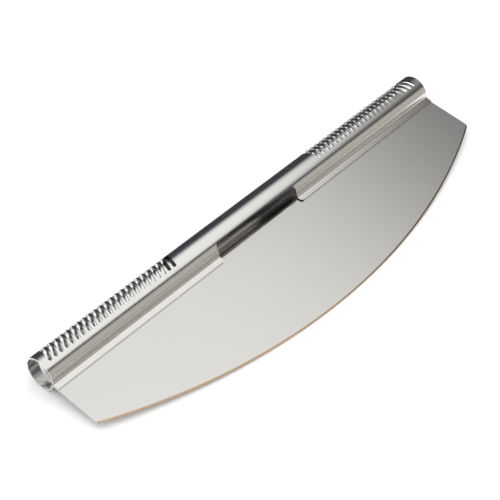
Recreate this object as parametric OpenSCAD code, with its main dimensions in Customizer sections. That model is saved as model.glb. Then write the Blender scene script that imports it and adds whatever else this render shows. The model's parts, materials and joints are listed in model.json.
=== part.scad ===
// Rocking pizza knife in stainless sheet, lying on its handle and its cutting edge.
// It is drawn square first: X along the handle, Y from the edge up to the ridge, Z to the front,
// with the handle axis at Y = 0, Z = 0. Angles round the handle start at the ridge and grow
// towards the front. The last step lays the knife down on the ground, Z = 0.

/* [Handle] */
// Length of the handle tube and of the blade, end to end
knife_len = 355.6; // [305:0.1:500]
// Outer diameter of the handle tube
handle_d = 22.2; // [18:0.1:32]
// Thickness of the sheet that the handle is rolled from
handle_t = 1.0; // [0.8:0.1:1.5]

/* [Grip slots] */
// Number of slots across the ridge at each end of the handle
slot_count = 24; // [4:1:28]
// Width of a slot
slot_w = 2.6; // [1.5:0.1:3.6]
// Distance from one slot to the next
slot_pitch = 4.45; // [3.6:0.05:5.2]
// Distance from the handle's end to the foot of its outermost slot
slot_margin = 6.2; // [4.5:0.1:20]
// Angle from the ridge round to the lowest point of a slot
slot_foot_angle = 107.5; // [80:0.5:115]
// Lean of the slots, inwards from foot to ridge
slot_lean = 14; // [0:1:25]

/* [Opening above the blade] */
// Length of the opening in the handle's front wall
opening_len = 74.6; // [30:0.1:100]
// Angle from the ridge round to the upper lip of the opening
opening_lip_angle = 126; // [118:0.5:140]
// Radius of the opening's upper corners
opening_corner_r = 3.0; // [1:0.1:4]

/* [Neck] */
// Radius of the hollow between the handle and the blade, on both sides
neck_r = 2.0; // [1.5:0.1:4]
// Width of the flat lap that lies on the blade below the handle
lap_w = 2.8; // [2.4:0.1:8]
// Radius of the lap's corners beside the opening
lap_corner_r = 2.0; // [0.5:0.1:2.2]

/* [Blade] */
// Thickness of the blade sheet
blade_t = 1.0; // [0.8:0.1:1.5]
// Distance from the handle axis down to the middle of the cutting edge
blade_depth = 86.5; // [75:0.1:120]
// Distance from the handle axis down to the cutting edge at its ends
shoulder_depth = 47.3; // [40:0.1:60]
// Radius of the blade's two corners
corner_r = 3.0; // [1:0.1:8]
// Width of the ground bevel on each face of the cutting edge
bevel_w = 0.9; // [0.5:0.1:4]
// Thickness that the grinding leaves at the cutting edge
edge_t = 0.16; // [0.1:0.01:0.5]

/* [Welds] */
// Width of the seam weld that joins the blade's bent root to the handle's rear wall
seam_w = 1.2; // [0.6:0.1:3]
// Number of spot welds through the lap on each side of the opening
spot_count = 8; // [2:1:12]
// Diameter of a spot weld
spot_d = 1.8; // [1:0.1:2]
// How far a spot weld reaches into each of the two sheets
spot_bite = 0.4; // [0.2:0.05:0.6]
// Distance from each end of the lap to the centre of the nearest spot weld
spot_margin = 6.0; // [4:0.1:20]

/* [Hidden] */

// Steps round a small circle, and round the long arc of the cutting edge
$fn = 96;
edge_steps = 1440;

// How far a cutting shape runs past the faces that it cuts
past = 1;

// Angle by which the front bend runs on into the tube's wall, so that they are one sheet
bend_overlap = 0.1;

// Tube: outer and inner radius
tube_r = handle_d / 2;
bore_r = tube_r - handle_t;

// Neck: the centre of each bend, and the angle at which the bend runs into the tube
front_bend_z = handle_t + neck_r;
rear_bend_z = blade_t + neck_r;
front_bend_y = sqrt(pow(tube_r + neck_r, 2) - pow(front_bend_z, 2));
rear_bend_y = sqrt(pow(tube_r + neck_r, 2) - pow(rear_bend_z, 2));
front_tangent_angle = 180 - asin(front_bend_z / (tube_r + neck_r));
rear_tangent_angle = 180 - asin(rear_bend_z / (tube_r + neck_r));
seam_angle = seam_w / tube_r * 180 / PI;
lap_bottom_y = -(front_bend_y + lap_w);

// Grip slots: height of the centre of a slot's round foot
slot_foot_y = tube_r * cos(slot_foot_angle) + slot_w / 2;

// Opening: it is cut square to the wall, half way round between its lip and the neck
opening_cut_angle = (opening_lip_angle + front_tangent_angle) / 2;
opening_lip_y = tube_r * sin(opening_cut_angle - opening_lip_angle);

// Cutting edge: one arc over the full length, which meets each corner's round
edge_sagitta = blade_depth - shoulder_depth;
edge_r = (pow(knife_len / 2, 2) + pow(edge_sagitta, 2)) / (2 * edge_sagitta);
edge_centre_y = edge_r - blade_depth;
corner_x = knife_len / 2 - corner_r;
corner_y = edge_centre_y - sqrt(pow(edge_r - corner_r, 2) - pow(corner_x, 2));
corner_angle = atan2(corner_y - edge_centre_y, corner_x);

// Spot welds: a row along the middle of the lap
spot_y = -(front_bend_y + lap_w / 2);
spot_first_x = opening_len / 2 + spot_margin;
spot_step = (knife_len / 2 - spot_margin - spot_first_x) / (spot_count - 1);

// Rest: the knife tips about the tube until the heel of the rear bevel meets the ground
heel_depth = blade_depth - bevel_w;
rest_tilt = asin(tube_r / norm([heel_depth, blade_t])) - atan2(blade_t, heel_depth);
edge_front_z = -(blade_t - edge_t) / 2;
edge_reach_y = blade_depth * cos(rest_tilt) + edge_front_z * sin(rest_tilt);
lay_shift_y = (edge_reach_y - tube_r) / 2;

// Lays the knife down, with the middle of its length and width over the origin
module lay_down() {
    translate([0, lay_shift_y, tube_r])
        rotate([rest_tilt, 0, 0])
            children();
}

// Turns a section drawn in Y and Z into a bar along the handle
module along_handle(length) {
    rotate([90, 0, 90])
        linear_extrude(height = length, center = true)
            children();
}

// A wedge with its point at the origin, less than 120 degrees wide
module wedge(from_angle, to_angle, reach) {
    mid_angle = (from_angle + to_angle) / 2;
    polygon([
        [0, 0],
        reach * [cos(from_angle), sin(from_angle)],
        reach * [cos(mid_angle), sin(mid_angle)],
        reach * [cos(to_angle), sin(to_angle)]
    ]);
}

// A stretch of sheet bent to a radius, seen in section
module bent_sheet(inner_r, thickness, from_angle, to_angle) {
    outer_r = inner_r + thickness;
    intersection() {
        difference() {
            circle(r = outer_r);
            circle(r = inner_r);
        }
        wedge(from_angle, to_angle, 2 * outer_r);
    }
}

// The handle's section: a lap on the blade, a bend outwards, then the tube round to the seam
module handle_section() {
    difference() {
        circle(r = tube_r);
        circle(r = bore_r);
        wedge(front_tangent_angle, 360 - rear_tangent_angle + seam_angle, 2 * tube_r);
    }
    translate([-front_bend_y, front_bend_z])
        bent_sheet(neck_r, handle_t, -90, front_tangent_angle - 180 + bend_overlap);
    translate([lap_bottom_y, 0])
        square([lap_w, handle_t]);
}

// One slot: a cut down through the ridge that ends in a round foot, the same front and back
module slot_cutter() {
    reach = 2 * tube_r;
    translate([-slot_w / 2, 0, -reach])
        cube([slot_w, reach, 2 * reach]);
    translate([0, 0, -reach])
        cylinder(d = slot_w, h = 2 * reach);
}

// The row of slots at one end of the handle: side is -1 on the left and 1 on the right
module slot_row(side) {
    for (i = [0 : slot_count - 1])
        translate([side * (knife_len / 2 - slot_margin - i * slot_pitch), slot_foot_y, 0])
            rotate([0, 0, side * slot_lean])
                slot_cutter();
}

// The opening's outline, with its two round upper corners; its lower end is open
module opening_outline() {
    drop = 2 * handle_d;
    translate([-opening_len / 2, opening_lip_y - opening_corner_r - drop])
        square([opening_len, drop]);
    translate([opening_corner_r - opening_len / 2, opening_lip_y - 2 * opening_corner_r])
        square([opening_len - 2 * opening_corner_r, 2 * opening_corner_r]);
    for (side = [-1, 1])
        translate([side * (opening_len / 2 - opening_corner_r), opening_lip_y - opening_corner_r])
            circle(r = opening_corner_r);
}

// The opening: it parts the front wall, the front bend and the lap, and spares the rear wall
module opening_cutter() {
    reach = 2 * handle_d;
    intersection() {
        rotate([opening_cut_angle - 90, 0, 0])
            linear_extrude(height = reach)
                opening_outline();
        translate([-opening_len, -reach, -past])
            cube([2 * opening_len, 2 * reach, reach]);
    }
}

// Rounds the lower corner of the lap beside the opening
module lap_corner_cutter(side) {
    mirror([side < 0 ? 1 : 0, 0, 0])
        translate([opening_len / 2, lap_bottom_y, -past])
            linear_extrude(height = handle_t + 2 * past)
                difference() {
                    translate([-past, -past])
                        square(lap_corner_r + past);
                    translate([lap_corner_r, lap_corner_r])
                        circle(r = lap_corner_r);
                }
}

// The row of spot welds on one side of the opening, half in the lap and half in the blade
module spot_row(side) {
    for (i = [0 : spot_count - 1])
        translate([side * (spot_first_x + i * spot_step), spot_y, -spot_bite])
            cylinder(d = spot_d, h = 2 * spot_bite);
}

// A disc about the centre of the cutting edge's arc, with its rim ground from both faces
module ground_disc() {
    translate([0, edge_centre_y, 0])
        rotate_extrude($fn = edge_steps)
            polygon([
                [0, 0],
                [edge_r - bevel_w, 0],
                [edge_r, -(blade_t - edge_t) / 2],
                [edge_r, -(blade_t + edge_t) / 2],
                [edge_r - bevel_w, -blade_t],
                [0, -blade_t]
            ]);
}

// Rounds the blade's corner at one end
module corner_cutter(side) {
    mirror([side < 0 ? 1 : 0, 0, 0])
        translate([corner_x, corner_y, -blade_t - past])
            linear_extrude(height = blade_t + 2 * past)
                difference() {
                    wedge(corner_angle, 0, 3 * corner_r);
                    circle(r = corner_r);
                }
}

// The flat of the blade, from the rear bend down to the cutting edge
module blade_flat() {
    difference() {
        intersection() {
            translate([-knife_len / 2, -blade_depth - past, -blade_t])
                cube([knife_len, blade_depth + past - rear_bend_y, blade_t]);
            ground_disc();
        }
        for (side = [-1, 1])
            corner_cutter(side);
    }
}

// Blade: a flat sheet with its root bent back to meet the handle's rear wall
module blade() {
    color("gainsboro")
        lay_down()
            difference() {
                union() {
                    blade_flat();
                    along_handle(knife_len)
                        translate([-rear_bend_y, -rear_bend_z])
                            bent_sheet(neck_r, blade_t, 180 - rear_tangent_angle, 90);
                }
                for (side = [-1, 1])
                    spot_row(side);
            }
}

// Handle: the rolled tube with its grip slots, its opening and its lap
module handle_tube() {
    color("silver")
        lay_down()
            difference() {
                along_handle(knife_len)
                    handle_section();
                for (side = [-1, 1]) {
                    slot_row(side);
                    lap_corner_cutter(side);
                    spot_row(side);
                }
                opening_cutter();
            }
}

// Seam weld: the full-length strip, ground flush, between the blade's root and the tube
module rear_seam_weld() {
    color("lightgray")
        lay_down()
            along_handle(knife_len)
                bent_sheet(bore_r, handle_t, -rear_tangent_angle, seam_angle - rear_tangent_angle);
}

// Spot welds: the row that holds the lap to the blade at one end
module lap_spot_welds(side) {
    color("darkgray")
        lay_down()
            spot_row(side);
}

blade();
handle_tube();
rear_seam_weld();
lap_spot_welds(-1);  // lap_spot_welds_left
lap_spot_welds(1);  // lap_spot_welds_right
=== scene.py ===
"""Looks of the rocking pizza knife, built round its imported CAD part.

The knife is drawn square first, as a sheet-metal worker would draw it: X along the handle, Y from the
cutting edge up to the ridge, Z to the front, with the handle's axis at Y = 0, Z = 0. Lay turns that
drawing into the frame of the part, where the knife lies on its handle and its cutting edge. All sizes
are in metres and all angles in degrees.
"""

from __future__ import annotations

import json
import logging
import math
from dataclasses import dataclass, field
from enum import Enum

import bmesh
import bpy
from mathutils import Matrix, Vector

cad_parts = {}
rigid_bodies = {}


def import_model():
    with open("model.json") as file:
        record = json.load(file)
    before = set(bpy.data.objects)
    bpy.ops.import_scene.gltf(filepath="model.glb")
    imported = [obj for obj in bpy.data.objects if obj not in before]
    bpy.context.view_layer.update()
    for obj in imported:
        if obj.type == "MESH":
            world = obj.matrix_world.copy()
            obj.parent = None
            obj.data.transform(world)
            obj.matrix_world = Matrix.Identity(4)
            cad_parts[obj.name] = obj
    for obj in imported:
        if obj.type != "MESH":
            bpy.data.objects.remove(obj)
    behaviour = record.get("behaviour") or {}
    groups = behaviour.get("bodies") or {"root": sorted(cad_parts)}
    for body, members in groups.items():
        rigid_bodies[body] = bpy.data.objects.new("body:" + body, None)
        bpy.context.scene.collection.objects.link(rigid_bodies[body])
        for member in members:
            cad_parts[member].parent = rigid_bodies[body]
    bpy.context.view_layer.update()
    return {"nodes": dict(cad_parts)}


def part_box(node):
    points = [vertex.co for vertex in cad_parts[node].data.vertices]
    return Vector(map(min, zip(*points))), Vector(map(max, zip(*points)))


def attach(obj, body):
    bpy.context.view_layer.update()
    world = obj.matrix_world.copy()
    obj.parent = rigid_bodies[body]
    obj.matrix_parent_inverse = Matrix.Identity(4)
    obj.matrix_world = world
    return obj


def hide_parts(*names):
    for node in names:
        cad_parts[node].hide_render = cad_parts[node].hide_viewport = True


LOG = logging.getLogger("knife")
ROOT = "root"
MM = 0.001
QUARTER_TURN = 90.0
HALF_TURN = 180.0
FULL_TURN = 360.0
Point = tuple[float, float]
Triple = tuple[float, float, float]
Colour = tuple[float, float, float]


class Side(Enum):
    """The two ends of the knife."""

    LEFT = -1
    RIGHT = 1


def polar(centre: Point, radius: float, angle: float) -> Point:
    """Finds a point on a circle, in Y and Z on a section or in X and Y on an outline.

    Args:
        centre: the circle's centre.
        radius: the circle's radius.
        angle: the angle from the first axis towards the second.

    Returns:
        The point.
    """
    turn = math.radians(angle)
    return centre[0] + radius * math.cos(turn), centre[1] + radius * math.sin(turn)


def quarter_arc(centre: Point, radius: float, first: float, steps: int) -> list[Point]:
    """Lists points along a quarter of a circle.

    Args:
        centre: the circle's centre.
        radius: the circle's radius.
        first: the angle at which the quarter starts.
        steps: the number of steps.

    Returns:
        The points in order.
    """
    return [polar(centre, radius, first + QUARTER_TURN * i / steps) for i in range(steps + 1)]


def rectangle(name: str, corner: Vector, first: Vector, second: Vector) -> bpy.types.Mesh:
    """Makes a mesh of one rectangle.

    Args:
        name: the mesh's name.
        corner: the corner that the two sides start from.
        first: the first side.
        second: the second side.

    Returns:
        The mesh.
    """
    mesh = bpy.data.meshes.new(name)
    points = [corner, corner + first, corner + first + second, corner + second]
    mesh.from_pydata(points, [], [(0, 1, 2, 3)])
    return mesh


def link(obj: bpy.types.Object) -> bpy.types.Object:
    """Links an object to the scene and returns it."""
    bpy.context.scene.collection.objects.link(obj)
    return obj


@dataclass(frozen=True)
class Sizes:
    """The knife's sizes: the length and the tube from the CAD frame, the rest as on the real sheet."""

    length: float
    tube_r: float
    sheet: float = 1.0 * MM
    neck_r: float = 2.0 * MM
    lap_w: float = 2.8 * MM
    lap_corner_r: float = 2.0 * MM
    seam_w: float = 1.2 * MM
    blade_depth: float = 86.5 * MM
    shoulder_depth: float = 47.3 * MM
    corner_r: float = 3.0 * MM
    bevel_w: float = 0.9 * MM
    edge_t: float = 0.16 * MM
    slot_count: int = 24
    slot_w: float = 2.6 * MM
    slot_pitch: float = 4.45 * MM
    slot_margin: float = 6.2 * MM
    slot_foot_angle: float = 107.5
    slot_lean: float = 14.0
    opening_len: float = 74.6 * MM
    opening_lip_angle: float = 126.0
    opening_corner_r: float = 3.0 * MM

    @property
    def bore_r(self) -> float:
        """Inner radius of the tube."""
        return self.tube_r - self.sheet

    @property
    def bend_z(self) -> float:
        """Distance from the blade's joint plane to the centre of each neck bend."""
        return self.sheet + self.neck_r

    @property
    def bend_y(self) -> float:
        """Distance from the tube's axis down to the centres of the neck bends."""
        return math.sqrt((self.tube_r + self.neck_r) ** 2 - self.bend_z**2)

    @property
    def tangent(self) -> float:
        """Angle round the tube at which a neck bend runs into it."""
        return HALF_TURN - math.degrees(math.asin(self.bend_z / (self.tube_r + self.neck_r)))

    @property
    def seam_angle(self) -> float:
        """Angle that the seam weld takes up round the tube."""
        return math.degrees(self.seam_w / self.tube_r)

    @property
    def edge_r(self) -> float:
        """Radius of the cutting edge."""
        sagitta = self.blade_depth - self.shoulder_depth
        return ((self.length / 2) ** 2 + sagitta**2) / (2 * sagitta)

    @property
    def edge_centre_y(self) -> float:
        """Height of the cutting edge's centre over the tube's axis."""
        return self.edge_r - self.blade_depth

    @property
    def rest_tilt(self) -> float:
        """Angle, in radians, by which the knife tips on its tube until the bevel's heel is down."""
        heel = self.blade_depth - self.bevel_w
        return math.asin(self.tube_r / math.hypot(heel, self.sheet)) - math.atan2(self.sheet, heel)

    def lay(self) -> Matrix:
        """Makes the transform from the square drawing to the frame of the part.

        Returns:
            The 4 by 4 matrix.
        """
        tilt = self.rest_tilt
        front_z = -(self.sheet - self.edge_t) / 2
        reach = self.blade_depth * math.cos(tilt) + front_z * math.sin(tilt)
        place = Vector((0.0, (reach - self.tube_r) / 2, self.tube_r))
        return Matrix.Translation(place) @ Matrix.Rotation(tilt, 4, "X")


@dataclass(frozen=True)
class Roll:
    """A rolled stretch of the section: its centre, its two radii and the arc that it takes."""

    centre: Point
    radii: tuple[float, float]
    arc: tuple[float, float]
    margin: float = 0.6
    slack: float = 0.02 * MM

    def points(self, side: int, steps: int) -> list[Point]:
        """Lists points along one side of the stretch.

        Args:
            side: 0 for the first radius and 1 for the second.
            steps: the number of steps.

        Returns:
            The points in Y and Z, in the order of the arc.
        """
        first, last = self.arc
        angles = [first + (last - first) * i / steps for i in range(steps + 1)]
        return [polar(self.centre, self.radii[side], angle) for angle in angles]

    def holds(self, y: float, z: float) -> bool:
        """Tells if a point of the section lies on one of the stretch's two surfaces."""
        dy, dz = y - self.centre[0], z - self.centre[1]
        reach = math.hypot(dy, dz)
        if min(abs(reach - radius) for radius in self.radii) > self.slack:
            return False
        low, high = sorted(self.arc)
        angle = math.degrees(math.atan2(dz, dy))
        turns = (-FULL_TURN, 0.0, FULL_TURN)
        return any(low - self.margin <= angle + turn <= high + self.margin for turn in turns)


class SheetMesh:
    """A mesh of formed sheet whose rolled faces get the exact normals of their cylinders."""

    facing = 0.97
    weld_gap = 0.0005 * MM

    def __init__(self, name: str, rolls: list[Roll], sizes: Sizes) -> None:
        """Keeps the piece's name, its rolled stretches and the knife's sizes."""
        self.name = name
        self.rolls = rolls
        self.sizes = sizes

    def object_of(self, mesh: bpy.types.Mesh) -> bpy.types.Object:
        """Makes a linked object of the piece's mesh."""
        return link(bpy.data.objects.new(self.name, mesh))

    def finish(self, obj: bpy.types.Object) -> None:
        """Lays the mesh down and sets its normals.

        Args:
            obj: the piece, still in the square drawing.
        """
        mesh = obj.data
        work = bmesh.new()
        work.from_mesh(mesh)
        bmesh.ops.remove_doubles(work, verts=work.verts, dist=self.weld_gap)
        bmesh.ops.recalc_face_normals(work, faces=work.faces)
        work.to_mesh(mesh)
        work.free()
        normals = self.loop_normals(mesh)
        lay = self.sizes.lay()
        turn = lay.to_3x3()
        mesh.transform(lay)
        mesh.polygons.foreach_set("use_smooth", [True] * len(mesh.polygons))
        mesh.normals_split_custom_set([turn @ normal for normal in normals])
        LOG.info("%s: %d faces", self.name, len(mesh.polygons))

    def loop_normals(self, mesh: bpy.types.Mesh) -> list[Vector]:
        """Works out the normal at each face corner.

        Args:
            mesh: the piece's mesh in the square drawing.

        Returns:
            One unit vector for each loop.
        """
        normals: list[Vector] = [Vector((0.0, 0.0, 1.0))] * len(mesh.loops)
        for face in mesh.polygons:
            corners = [mesh.vertices[i].co for i in face.vertices]
            roll = self.roll_of(corners, face.normal)
            for loop, corner in zip(face.loop_indices, corners):
                if roll is None:
                    normals[loop] = face.normal.copy()
                    continue
                out = Vector((0.0, corner.y - roll.centre[0], corner.z - roll.centre[1])).normalized()
                normals[loop] = out if out.dot(face.normal) > 0 else -out
        return normals

    def roll_of(self, corners: list[Vector], normal: Vector) -> Roll | None:
        """Finds the rolled stretch that a face belongs to.

        Args:
            corners: the face's corners.
            normal: the face's normal.

        Returns:
            The stretch, or None for a flat face or a cut one.
        """
        middle = sum(corners, Vector()) / len(corners)
        for roll in self.rolls:
            out = Vector((0.0, middle.y - roll.centre[0], middle.z - roll.centre[1])).normalized()
            if abs(out.dot(normal)) > self.facing and all(roll.holds(c.y, c.z) for c in corners):
                return roll
        return None


def sheet_sweep(name: str, first: list[Point], second: list[Point], cuts: list[float]) -> bpy.types.Mesh:
    """Sweeps a strip of sheet along the handle into a closed mesh, without turning its faces outwards.

    Args:
        name: the mesh's name.
        first: the section's points on one side of the sheet, in Y and Z.
        second: the points on the other side, as many as in first.
        cuts: the stations along X.

    Returns:
        The mesh.
    """
    ring = first + second[::-1]
    count, half = len(ring), len(first)
    verts = [(x, y, z) for x in cuts for y, z in ring]
    faces: list[tuple[int, ...]] = []
    for station in range(len(cuts) - 1):
        low, high = station * count, (station + 1) * count
        faces += [(low + i, low + (i + 1) % count, high + (i + 1) % count, high + i) for i in range(count)]
    for start in (0, (len(cuts) - 1) * count):
        for i in range(half - 1):
            facing = start + count - 1 - i
            faces.append((start + i, start + i + 1, facing - 1, facing))
    mesh = bpy.data.meshes.new(name)
    mesh.from_pydata(verts, [], faces)
    return mesh


@dataclass
class NodeTree:
    """A Geometry Nodes tree that is being drawn up."""

    name: str
    tree: bpy.types.NodeTree = field(init=False)

    def __post_init__(self) -> None:
        """Makes the empty tree with its geometry sockets."""
        self.tree = bpy.data.node_groups.new(self.name, "GeometryNodeTree")
        self.tree.interface.new_socket("Geometry", in_out="INPUT", socket_type="NodeSocketGeometry")
        self.tree.interface.new_socket("Geometry", in_out="OUTPUT", socket_type="NodeSocketGeometry")
        self.entry = self.tree.nodes.new("NodeGroupInput")
        self.exit = self.tree.nodes.new("NodeGroupOutput")

    def socket(self, name: str, kind: str) -> str:
        """Adds a named input and returns its identifier."""
        return self.tree.interface.new_socket(name, in_out="INPUT", socket_type=kind).identifier

    def node(self, kind: str, **wires: object) -> bpy.types.Node:
        """Adds a node and wires or sets its inputs.

        Args:
            kind: the node's type.
            wires: an output socket or a value for each input, by its name with spaces as underscores.

        Returns:
            The new node.
        """
        made = self.tree.nodes.new(kind)
        for name, source in wires.items():
            self.wire(made.inputs[name.replace("_", " ")], source)
        return made

    def wire(self, target: bpy.types.NodeSocket, source: object) -> None:
        """Links an output socket to an input, or sets the input's value."""
        if isinstance(source, bpy.types.NodeSocket):
            self.tree.links.new(source, target)
        else:
            target.default_value = source

    def maths(self, operation: str, *terms: object) -> bpy.types.NodeSocket:
        """Adds a Math node and returns its output."""
        made = self.tree.nodes.new("ShaderNodeMath")
        made.operation = operation
        for target, term in zip(made.inputs, terms):
            self.wire(target, term)
        return made.outputs[0]

    def vector(self, x: object = 0.0, y: object = 0.0, z: object = 0.0) -> bpy.types.NodeSocket:
        """Adds a Combine XYZ node and returns its output."""
        return self.node("ShaderNodeCombineXYZ", X=x, Y=y, Z=z).outputs[0]


class SlotPunch:
    """Punches the two rows of grip slots through the tube with Geometry Nodes."""

    reach = 25.0 * MM
    foot_steps = 40

    def __init__(self, sizes: Sizes) -> None:
        """Draws up the tree for the knife's sizes."""
        self.sizes = sizes
        self.plan = NodeTree("slot_punch")
        plan = self.plan
        self.ids = {
            name: plan.socket(name, kind)
            for name, kind in (
                ("Count", "NodeSocketInt"),
                ("Pitch", "NodeSocketFloat"),
                ("Width", "NodeSocketFloat"),
                ("End", "NodeSocketFloat"),
                ("Foot", "NodeSocketFloat"),
                ("Lean", "NodeSocketFloat"),
                ("Steel", "NodeSocketMaterial"),
            )
        }
        entry = plan.entry.outputs
        punch = self.punch(entry["Width"])
        rows = plan.node("GeometryNodeJoinGeometry")
        for side in Side:
            plan.tree.links.new(self.row(side, punch), rows.inputs[0])
        solid = plan.node("GeometryNodeRealizeInstances", Geometry=rows.outputs[0])
        cut = plan.tree.nodes.new("GeometryNodeMeshBoolean")
        cut.operation = "DIFFERENCE"
        cut.solver = "EXACT"
        plan.tree.links.new(entry["Geometry"], cut.inputs["Mesh 1"])
        plan.tree.links.new(solid.outputs[0], cut.inputs["Mesh 2"])
        whole = plan.node("GeometryNodeRealizeInstances", Geometry=cut.outputs["Mesh"])
        dressed = plan.node("GeometryNodeSetMaterial", Geometry=whole.outputs[0], Material=entry["Steel"])
        plan.tree.links.new(dressed.outputs[0], plan.exit.inputs[0])

    def punch(self, width: bpy.types.NodeSocket) -> bpy.types.NodeSocket:
        """Draws one punch: a bar with a round foot that runs up past the ridge."""
        plan = self.plan
        radius = plan.maths("MULTIPLY", width, 0.5)
        rod = plan.node(
            "GeometryNodeMeshCylinder", Vertices=self.foot_steps, Radius=radius, Depth=2 * self.reach
        ).outputs["Mesh"]
        top = plan.node("GeometryNodeTransform", Geometry=rod, Translation=(0.0, self.reach, 0.0))
        both = plan.node("GeometryNodeJoinGeometry")
        plan.tree.links.new(rod, both.inputs[0])
        plan.tree.links.new(top.outputs[0], both.inputs[0])
        return plan.node("GeometryNodeConvexHull", Geometry=both.outputs[0]).outputs[0]

    def row(self, side: Side, punch: bpy.types.NodeSocket) -> bpy.types.NodeSocket:
        """Draws the row of punches at one end.

        Args:
            side: the end of the knife.
            punch: the geometry of one punch.

        Returns:
            The row's instances.
        """
        plan, entry = self.plan, self.plan.entry.outputs
        start = plan.vector(plan.maths("MULTIPLY", entry["End"], float(side.value)), entry["Foot"])
        step = plan.vector(plan.maths("MULTIPLY", entry["Pitch"], -float(side.value)))
        line = plan.node("GeometryNodeMeshLine", Count=entry["Count"], Start_Location=start, Offset=step)
        lean = plan.vector(z=plan.maths("MULTIPLY", entry["Lean"], float(side.value)))
        return plan.node(
            "GeometryNodeInstanceOnPoints", Points=line.outputs[0], Instance=punch, Rotation=lean
        ).outputs[0]

    def apply(self, obj: bpy.types.Object, steel: bpy.types.Material) -> bpy.types.Mesh:
        """Runs the tree on a piece.

        Args:
            obj: the piece without slots, in the square drawing.
            steel: the piece's material.

        Returns:
            The punched mesh.
        """
        sizes = self.sizes
        foot = sizes.tube_r * math.cos(math.radians(sizes.slot_foot_angle)) + sizes.slot_w / 2
        values = {
            "Count": sizes.slot_count,
            "Pitch": sizes.slot_pitch,
            "Width": sizes.slot_w,
            "End": sizes.length / 2 - sizes.slot_margin,
            "Foot": foot,
            "Lean": math.radians(sizes.slot_lean),
            "Steel": steel,
        }
        modifier = obj.modifiers.new("slots", "NODES")
        modifier.node_group = self.plan.tree
        for name, value in values.items():
            modifier[self.ids[name]] = value
        bpy.context.view_layer.update()
        graph = bpy.context.evaluated_depsgraph_get()
        mesh = bpy.data.meshes.new_from_object(obj.evaluated_get(graph))
        obj.modifiers.remove(modifier)
        return mesh


def prism(outline: list[Point], low: float, high: float) -> bmesh.types.BMesh:
    """Makes a closed prism from an outline in X and Y.

    Args:
        outline: the outline's points.
        low: the prism's lower Z.
        high: the prism's upper Z.

    Returns:
        The prism as a BMesh.
    """
    made = bmesh.new()
    rings = [[made.verts.new((x, y, z)) for x, y in outline] for z in (low, high)]
    made.faces.new(rings[0][::-1])
    made.faces.new(rings[1])
    for i in range(len(outline)):
        after = (i + 1) % len(outline)
        made.faces.new((rings[0][i], rings[0][after], rings[1][after], rings[1][i]))
    bmesh.ops.recalc_face_normals(made, faces=made.faces)
    return made


def object_from(work: bmesh.types.BMesh, name: str) -> bpy.types.Object:
    """Turns a BMesh into a linked object and frees it."""
    mesh = bpy.data.meshes.new(name)
    work.to_mesh(mesh)
    work.free()
    return link(bpy.data.objects.new(name, mesh))


def cut_with(obj: bpy.types.Object, cutter: bpy.types.Object) -> None:
    """Cuts a shape out of a piece and removes the cutter."""
    modifier = obj.modifiers.new("cut", "BOOLEAN")
    modifier.operation = "DIFFERENCE"
    modifier.solver = "EXACT"
    modifier.object = cutter
    bpy.context.view_layer.update()
    graph = bpy.context.evaluated_depsgraph_get()
    mesh = bpy.data.meshes.new_from_object(obj.evaluated_get(graph))
    obj.modifiers.remove(modifier)
    obj.data = mesh
    bpy.data.objects.remove(cutter)


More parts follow.
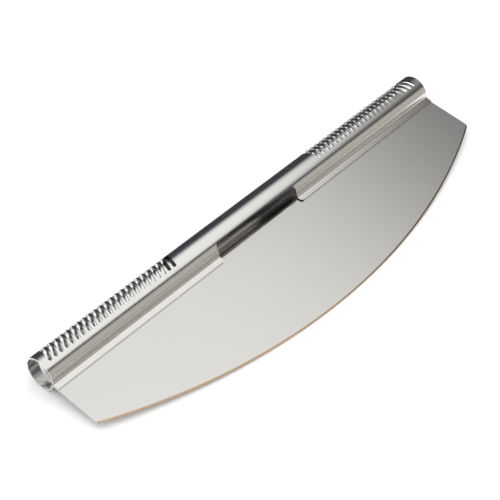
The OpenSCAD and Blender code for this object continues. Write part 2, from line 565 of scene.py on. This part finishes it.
class HandleTube(SheetMesh):
    """The handle: a lap on the blade, a bend outwards, and the tube rolled round to the seam."""

    tube_steps = 330
    bend_steps = 24
    corner_steps = 12
    cutter_reach = 4.4

    def __init__(self, sizes: Sizes) -> None:
        """Draws up the handle's two rolled stretches."""
        front = Roll(
            centre=(-sizes.bend_y, sizes.bend_z),
            radii=(sizes.neck_r, sizes.neck_r + sizes.sheet),
            arc=(-QUARTER_TURN, sizes.tangent - HALF_TURN),
        )
        tube = Roll(
            centre=(0.0, 0.0),
            radii=(sizes.tube_r, sizes.bore_r),
            arc=(sizes.tangent, sizes.seam_angle - sizes.tangent),
        )
        super().__init__("handle_shell", [tube, front], sizes)
        self.front, self.tube = front, tube

    def blank(self) -> bpy.types.Mesh:
        """Sweeps the handle's section along its length."""
        bottom = -(self.sizes.bend_y + self.sizes.lap_w)
        sides = []
        for side, lap_z in ((0, self.sizes.sheet), (1, 0.0)):
            bend = self.front.points(side, self.bend_steps)
            ring = self.tube.points(side, self.tube_steps)
            sides.append([(bottom, lap_z), *bend, *ring[1:]])
        half = self.sizes.length / 2
        return sheet_sweep(self.name, sides[0], sides[1], [-half, half])

    def opening(self) -> bpy.types.Object:
        """Makes the cutter of the opening, square to the wall half way between its lip and the neck.

        Returns:
            The cutter, which reaches out by cutter_reach times the tube's radius.
        """
        sizes = self.sizes
        reach = self.cutter_reach * sizes.tube_r
        cut_angle = (sizes.opening_lip_angle + sizes.tangent) / 2
        lip = sizes.tube_r * math.sin(math.radians(cut_angle - sizes.opening_lip_angle))
        half, corner = sizes.opening_len / 2, sizes.opening_corner_r
        outline: list[Point] = [(-half, lip - reach), (half, lip - reach)]
        for side, first in ((1, 0.0), (-1, QUARTER_TURN)):
            centre = (side * (half - corner), lip - corner)
            outline += quarter_arc(centre, corner, first, self.corner_steps)
        work = prism(outline, 0.0, reach)
        tip = Matrix.Rotation(math.radians(cut_angle - QUARTER_TURN), 4, "X")
        bmesh.ops.transform(work, matrix=tip, verts=work.verts)
        parts = [*work.verts, *work.edges, *work.faces]
        found = bmesh.ops.bisect_plane(
            work, geom=parts, plane_co=(0.0, 0.0, -sizes.sheet), plane_no=(0.0, 0.0, 1.0), clear_inner=True
        )
        rim = [part for part in found["geom_cut"] if isinstance(part, bmesh.types.BMEdge)]
        bmesh.ops.holes_fill(work, edges=rim, sides=0)
        bmesh.ops.recalc_face_normals(work, faces=work.faces)
        return object_from(work, "opening_cutter")

    def lap_corner(self, side: Side) -> bpy.types.Object:
        """Makes the cutter that rounds the lap's lower corner beside the opening.

        Args:
            side: the end of the knife that the lap belongs to.

        Returns:
            The cutter.
        """
        sizes = self.sizes
        radius, past = sizes.lap_corner_r, sizes.sheet
        bottom = -(sizes.bend_y + sizes.lap_w)
        edge = sizes.opening_len / 2
        arc = quarter_arc((radius, radius), radius, HALF_TURN, self.corner_steps)
        outline = [(-past, radius), *arc, (radius, -past), (-past, -past)]
        placed = [(side.value * (edge + x), bottom + y) for x, y in outline]
        return object_from(prism(placed, -past, 2 * past), "lap_corner_cutter")

    def build(self, steel: bpy.types.Material) -> bpy.types.Object:
        """Builds the handle.

        Args:
            steel: the handle's material.

        Returns:
            The finished piece.
        """
        obj = self.object_of(self.blank())
        # Known fault: the blank's faces aren't turned outwards before the cuts, so the cuts leave no walls
        cut_with(obj, self.opening())
        for side in Side:
            cut_with(obj, self.lap_corner(side))
        obj.data = SlotPunch(self.sizes).apply(obj, steel)
        self.finish(obj)
        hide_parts("handle_tube")
        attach(obj, ROOT)
        return obj


class Blade(SheetMesh):
    """The blade: a flat sheet with a ground rocker edge, whose root bends back to the tube's rear wall."""

    bend_steps = 24
    arc_steps = 360
    corner_steps = 16

    def __init__(self, sizes: Sizes) -> None:
        """Draws up the blade's one rolled stretch."""
        rear = Roll(
            centre=(-sizes.bend_y, -sizes.bend_z),
            radii=(sizes.neck_r + sizes.sheet, sizes.neck_r),
            arc=(QUARTER_TURN, HALF_TURN - sizes.tangent),
        )
        super().__init__("blade_sheet", [rear], sizes)
        self.rear = rear

    def edge_line(self, inset: float) -> list[Point]:
        """Lists the blade's outline below the root, moved inwards.

        Args:
            inset: the distance inwards from the cutting edge's arc.

        Returns:
            The points from the left side round the edge to the right side.
        """
        sizes = self.sizes
        radius, half, corner = sizes.edge_r - inset, sizes.length / 2, sizes.corner_r
        x = half - corner
        centre_y = sizes.edge_centre_y - math.sqrt((sizes.edge_r - corner) ** 2 - x**2)
        turn = math.degrees(math.atan2(centre_y - sizes.edge_centre_y, x))
        angles = [turn * i / self.corner_steps for i in range(self.corner_steps + 1)]
        right = [polar((x, centre_y), corner, angle) for angle in angles]
        if inset:
            right = [(px, max(py, self.arc_y(px, radius))) for px, py in right]
        reach = right[-1][0]
        arc = [(reach - 2 * reach * i / self.arc_steps) for i in range(1, self.arc_steps)]
        middle = [(px, self.arc_y(px, radius)) for px in arc]
        return right + middle + [(-px, py) for px, py in right[::-1]]

    def arc_y(self, x: float, radius: float) -> float:
        """Finds the height of an arc about the cutting edge's centre.

        Args:
            x: the place along the handle.
            radius: the arc's radius.

        Returns:
            The height over the tube's axis, which is negative.
        """
        return self.sizes.edge_centre_y - math.sqrt(radius**2 - x**2)

    def build(self, steel: bpy.types.Material) -> bpy.types.Object:
        """Builds the blade as rings of its outline, from the front face round the ground edge to the back.

        Args:
            steel: the blade's material.

        Returns:
            The finished piece.
        """
        sizes = self.sizes
        wide, thin = sizes.sheet, sizes.edge_t
        rings = (
            (sizes.bevel_w, 0.0),
            (0.0, -(wide - thin) / 2),
            (0.0, -(wide + thin) / 2),
            (sizes.bevel_w, -wide),
        )
        front = self.rear.points(0, self.bend_steps)
        back = self.rear.points(1, self.bend_steps)
        work = bmesh.new()
        lines = [[work.verts.new((x, y, z)) for x, y in self.edge_line(inset)] for inset, z in rings]
        for upper, lower in zip(lines, lines[1:]):
            for i in range(len(upper) - 1):
                work.faces.new((upper[i], upper[i + 1], lower[i + 1], lower[i]))
        half = sizes.length / 2
        roots = {
            (face, side): [work.verts.new((side.value * half, y, z)) for y, z in line]
            for face, line in (("front", front), ("back", back))
            for side in Side
        }
        for face, line in (("front", lines[0]), ("back", lines[-1])):
            left, right = roots[face, Side.LEFT], roots[face, Side.RIGHT]
            work.faces.new([*line, left[0], right[0]])
            for i in range(self.bend_steps):
                work.faces.new((left[i], left[i + 1], right[i + 1], right[i]))
        ends = (roots["front", Side.LEFT][-1], roots["front", Side.RIGHT][-1])
        far = (roots["back", Side.RIGHT][-1], roots["back", Side.LEFT][-1])
        work.faces.new((*ends, *far))
        for side, tip in ((Side.RIGHT, 0), (Side.LEFT, -1)):
            near, away = roots["front", side], roots["back", side]
            for i in range(self.bend_steps):
                work.faces.new((near[i], near[i + 1], away[i + 1], away[i]))
            work.faces.new((near[0], *[line[tip] for line in lines], away[0]))
        bmesh.ops.recalc_face_normals(work, faces=work.faces)
        obj = object_from(work, self.name)
        obj.data.materials.append(steel)
        self.finish(obj)
        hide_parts("blade")
        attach(obj, ROOT)
        return obj


@dataclass(frozen=True)
class SteelFinish:
    """A stainless finish: its colour, its roughness and the grain along the handle."""

    name: str
    colour: Colour
    roughness: float
    roughness_spread: float
    shade_spread: float = 0.03
    grain_scale: Triple = (6.0, 1400.0, 1400.0)

    def material(self) -> bpy.types.Material:
        """Makes the finish's material, whose grain reads Object coordinates.

        Returns:
            The new material.
        """
        made = bpy.data.materials.new(self.name)
        made.use_nodes = True
        nodes, links = made.node_tree.nodes, made.node_tree.links
        shader = nodes["Principled BSDF"]
        shader.inputs["Metallic"].default_value = 1.0
        place = nodes.new("ShaderNodeTexCoord")
        stretch = nodes.new("ShaderNodeMapping")
        stretch.inputs["Scale"].default_value = self.grain_scale
        noise = nodes.new("ShaderNodeTexNoise")
        noise.inputs["Scale"].default_value = 1.0
        links.new(place.outputs["Object"], stretch.inputs["Vector"])
        links.new(stretch.outputs["Vector"], noise.inputs["Vector"])
        rough = nodes.new("ShaderNodeMapRange")
        rough.inputs["To Min"].default_value = self.roughness - self.roughness_spread
        rough.inputs["To Max"].default_value = self.roughness + self.roughness_spread
        links.new(noise.outputs["Fac"], rough.inputs["Value"])
        links.new(rough.outputs["Result"], shader.inputs["Roughness"])
        shade = nodes.new("ShaderNodeMix")
        shade.data_type = "RGBA"
        dark, light = (tuple(c + s * self.shade_spread for c in self.colour) + (1.0,) for s in (-1, 1))
        shade.inputs["A"].default_value = dark
        shade.inputs["B"].default_value = light
        links.new(noise.outputs["Fac"], shade.inputs["Factor"])
        links.new(shade.outputs["Result"], shader.inputs["Base Color"])
        return made


@dataclass(frozen=True)
class PaintedEdgeReflection:
    """The ground strip along the cutting edge, painted brown as a painted reflection of warm light."""

    # painted reflection: the brown that the ground strip shows, painted into its colour
    reflection_colour: Colour = (0.60, 0.42, 0.27)
    width: float = 0.95 * MM
    blend: float = 0.05 * MM

    def add_to(self, steel: bpy.types.Material, sizes: Sizes) -> None:
        """Adds the painted brown reflection to a blade material, in a strip set by the distance from the
        centre of the cutting edge.

        Args:
            steel: the blade's material.
            sizes: the knife's sizes.
        """
        nodes, links = steel.node_tree.nodes, steel.node_tree.links
        shader = nodes["Principled BSDF"]
        colour = shader.inputs["Base Color"].links[0].from_socket
        place = nodes.new("ShaderNodeTexCoord")
        upright = nodes.new("ShaderNodeMapping")
        back = sizes.lay().inverted()
        upright.inputs["Location"].default_value = back.to_translation()
        upright.inputs["Rotation"].default_value = back.to_euler()
        links.new(place.outputs["Object"], upright.inputs["Vector"])
        flat = nodes.new("ShaderNodeVectorMath")
        flat.operation = "MULTIPLY"
        flat.inputs[1].default_value = (1.0, 1.0, 0.0)
        links.new(upright.outputs["Vector"], flat.inputs[0])
        far = nodes.new("ShaderNodeVectorMath")
        far.operation = "DISTANCE"
        far.inputs[1].default_value = (0.0, sizes.edge_centre_y, 0.0)
        links.new(flat.outputs["Vector"], far.inputs[0])
        reflection_mask = nodes.new("ShaderNodeMapRange")
        start = sizes.edge_r - self.width
        reflection_mask.inputs["From Min"].default_value = start
        reflection_mask.inputs["From Max"].default_value = start + self.blend
        links.new(far.outputs["Value"], reflection_mask.inputs["Value"])
        # paints the brown reflection over the steel's own colour inside the strip
        reflection_mix = nodes.new("ShaderNodeMix")
        reflection_mix.data_type = "RGBA"
        reflection_mix.inputs["B"].default_value = (*self.reflection_colour, 1.0)
        links.new(reflection_mask.outputs["Result"], reflection_mix.inputs["Factor"])
        links.new(colour, reflection_mix.inputs["A"])
        links.new(reflection_mix.outputs["Result"], shader.inputs["Base Color"])


POLISHED = SteelFinish(
    "polished_steel", (0.76, 0.75, 0.735), roughness=0.21, roughness_spread=0.02, shade_spread=0.02
)
SATIN = SteelFinish(
    "satin_steel", (0.73, 0.72, 0.70), roughness=0.29, roughness_spread=0.015, shade_spread=0.015
)
GROUND = SteelFinish("ground_weld", (0.66, 0.66, 0.65), roughness=0.40, roughness_spread=0.05)


class Knife:
    """The whole knife: the handle and the blade as fine meshes, and the welds as CAD nodes."""

    welds = ("rear_seam_weld", "lap_spot_welds_left", "lap_spot_welds_right")
    digits = 4

    def __init__(self) -> None:
        """Takes the knife's length and tube from the CAD frame."""
        low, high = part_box("handle_tube")
        length, tube_d = (round(size, self.digits) for size in (high.x - low.x, high.z - low.z))
        self.sizes = Sizes(length=length, tube_r=tube_d / 2)

    def build(self, nodes: dict[str, bpy.types.Object]) -> None:
        """Builds and dresses each piece.

        Args:
            nodes: the CAD nodes by name.
        """
        satin = SATIN.material()
        # paints a brown reflection along the cutting edge of the blade material
        PaintedEdgeReflection().add_to(satin, self.sizes)
        weld = GROUND.material()
        HandleTube(self.sizes).build(POLISHED.material())
        Blade(self.sizes).build(satin)
        for name in self.welds:
            mesh = nodes[name].data
            mesh.materials.clear()
            mesh.materials.append(weld)
            LOG.info("dressed %s", name)


@dataclass(frozen=True)
class Camera:
    """The photo's camera, as an orbit round a target on the knife."""

    target: Triple = (-0.018464, 0.017474, 0.008734)
    azimuth: float = -49.29
    elevation: float = 43.68
    roll: float = 0.87
    distance: float = 0.93733
    lens: float = 108.14
    sensor: float = 36.0

    def build(self) -> bpy.types.Object:
        """Makes the camera and sets it as the scene's.

        Returns:
            The camera's object.
        """
        turn, rise = math.radians(self.azimuth), math.radians(self.elevation)
        back = Vector((math.sin(turn) * math.cos(rise), -math.cos(turn) * math.cos(rise), math.sin(rise)))
        data = bpy.data.cameras.new("camera")
        data.lens = self.lens
        data.sensor_width = self.sensor
        camera = link(bpy.data.objects.new("camera", data))
        level = (-back).to_track_quat("-Z", "Y").to_matrix().to_4x4()
        rolled = level @ Matrix.Rotation(math.radians(self.roll), 4, "Z")
        camera.matrix_world = Matrix.Translation(Vector(self.target) + back * self.distance) @ rolled
        bpy.context.scene.camera = camera
        return camera


@dataclass(frozen=True)
class Fade:
    """A fade across a studio card, from full brightness at one place to a share of it at another."""

    axis: str
    full_at: float
    low_at: float
    low: float

    def add_to(self, tree: bpy.types.NodeTree, strength: bpy.types.NodeSocket) -> None:
        """Multiplies a card's strength by the fade.

        Args:
            tree: the card's node tree.
            strength: the emission's strength socket.
        """
        place = tree.nodes.new("ShaderNodeTexCoord")
        apart = tree.nodes.new("ShaderNodeSeparateXYZ")
        ramp = tree.nodes.new("ShaderNodeMapRange")
        ramp.interpolation_type = "SMOOTHSTEP"
        ramp.inputs["From Min"].default_value = self.full_at
        ramp.inputs["From Max"].default_value = self.low_at
        ramp.inputs["To Min"].default_value = 1.0
        ramp.inputs["To Max"].default_value = self.low
        product = tree.nodes.new("ShaderNodeMath")
        product.operation = "MULTIPLY"
        tree.links.new(place.outputs["Object"], apart.inputs[0])
        tree.links.new(apart.outputs[self.axis], ramp.inputs["Value"])
        tree.links.new(ramp.outputs["Result"], product.inputs[0])
        if strength.links:
            tree.links.new(strength.links[0].from_socket, product.inputs[1])
        else:
            product.inputs[1].default_value = strength.default_value
        tree.links.new(product.outputs[0], strength)


@dataclass(frozen=True)
class Card:
    """A studio card that only polished surfaces see: a rectangle from one corner along two sides."""

    name: str
    corner: Triple
    first: Triple
    second: Triple
    colour: Colour
    strength: float = 1.0
    fades: tuple[Fade, ...] = ()

    def build(self) -> bpy.types.Object:
        """Hangs the card.

        Returns:
            The card's object.
        """
        corner, first, second = (Vector(v) for v in (self.corner, self.first, self.second))
        mesh = rectangle(self.name, corner, first, second)
        paper = bpy.data.materials.new(self.name)
        paper.use_nodes = True
        nodes = paper.node_tree.nodes
        nodes.remove(nodes["Principled BSDF"])
        glow = nodes.new("ShaderNodeEmission")
        glow.inputs["Color"].default_value = (*self.colour, 1.0)
        glow.inputs["Strength"].default_value = self.strength
        paper.node_tree.links.new(glow.outputs[0], nodes["Material Output"].inputs["Surface"])
        for fade in self.fades:
            fade.add_to(paper.node_tree, glow.inputs["Strength"])
        mesh.materials.append(paper)
        card = link(bpy.data.objects.new(self.name, mesh))
        for ray in ("camera", "diffuse", "transmission", "volume_scatter", "shadow"):
            setattr(card, f"visible_{ray}", False)
        return card


CARDS = (
    Card(
        name="soft_box",
        corner=(-1.2, -0.75, 0.9),
        first=(2.5, 0.0, 0.0),
        second=(0.0, 2.2, 0.0),
        colour=(1.0, 0.995, 0.98),
        strength=1.10,
        fades=(
            Fade("X", full_at=0.58, low_at=1.12, low=0.05),
            Fade("Y", full_at=0.35, low_at=1.10, low=0.16),
        ),
    ),
    Card(
        name="warm_wall",
        corner=(-0.4, -1.2, 0.0),
        first=(3.0, 0.0, 0.0),
        second=(0.0, 0.0, 0.85),
        colour=(0.66, 0.62, 0.56),
        strength=0.85,
    ),
    Card(
        name="rear_ground",
        corner=(-3.0, 0.07, 0.0006),
        first=(6.0, 0.0, 0.0),
        second=(0.0, 3.0, 0.0),
        colour=(0.10, 0.11, 0.14),
        strength=0.5,
    ),
    Card(
        name="front_ground",
        corner=(-3.0, -1.2, 0.0006),
        first=(6.0, 0.0, 0.0),
        second=(0.0, 1.13, 0.0),
        colour=(0.50, 0.48, 0.45),
        strength=0.6,
    ),
)


@dataclass(frozen=True)
class Studio:
    """The white floor, the soft lamp, the cards and the white surroundings."""

    floor_half: float = 6.0
    floor_colour: float = 0.92
    floor_roughness: float = 0.9
    ambient: float = 1.06
    room: Colour = (0.045, 0.05, 0.065)
    lamp_power: float = 5.0
    lamp_size: float = 1.4
    lamp_place: Triple = (-0.25, 0.1, 1.3)

    def floor(self) -> None:
        """Lays the floor under the knife."""
        half, side = self.floor_half, 2 * self.floor_half
        mesh = rectangle("floor", Vector((-half, -half, 0)), Vector((side, 0, 0)), Vector((0, side, 0)))
        paint = bpy.data.materials.new("floor_paint")
        paint.use_nodes = True
        shader = paint.node_tree.nodes["Principled BSDF"]
        shader.inputs["Base Color"].default_value = (self.floor_colour,) * 3 + (1.0,)
        shader.inputs["Roughness"].default_value = self.floor_roughness
        shader.inputs["Specular IOR Level"].default_value = 0.0
        mesh.materials.append(paint)
        link(bpy.data.objects.new("floor", mesh))

    def surroundings(self) -> None:
        """Makes the world white to the camera, a dark room to steel and a soft light to the floor."""
        world = bpy.data.worlds.new("studio")
        bpy.context.scene.world = world
        world.use_nodes = True
        nodes, links = world.node_tree.nodes, world.node_tree.links
        path = nodes.new("ShaderNodeLightPath")
        tone = nodes.new("ShaderNodeMix")
        tone.data_type = "RGBA"
        tone.inputs["A"].default_value = (self.ambient,) * 3 + (1.0,)
        tone.inputs["B"].default_value = (*self.room, 1.0)
        links.new(path.outputs["Is Glossy Ray"], tone.inputs["Factor"])
        seen = nodes.new("ShaderNodeMix")
        seen.data_type = "RGBA"
        seen.inputs["B"].default_value = (1.0, 1.0, 1.0, 1.0)
        links.new(path.outputs["Is Camera Ray"], seen.inputs["Factor"])
        links.new(tone.outputs["Result"], seen.inputs["A"])
        links.new(seen.outputs["Result"], nodes["Background"].inputs["Color"])

    def lamp(self) -> None:
        """Hangs the soft lamp over the knife; polished steel sees the cards in its place."""
        data = bpy.data.lights.new("top_lamp", "AREA")
        data.size = self.lamp_size
        data.energy = self.lamp_power
        lamp = link(bpy.data.objects.new("top_lamp", data))
        lamp.location = self.lamp_place
        lamp.visible_glossy = False

    def build(self) -> None:
        """Builds the whole studio."""
        self.floor()
        self.surroundings()
        self.lamp()
        for card in CARDS:
            card.build()
        bpy.context.scene.view_settings.view_transform = "Standard"


def main() -> None:
    """Loads the frame, builds the knife, and sets up the studio and the camera."""
    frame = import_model()
    Knife().build(frame["nodes"])
    Studio().build()
    Camera().build()


if __name__ == "__main__":
    logging.basicConfig(level=logging.INFO)
    main()
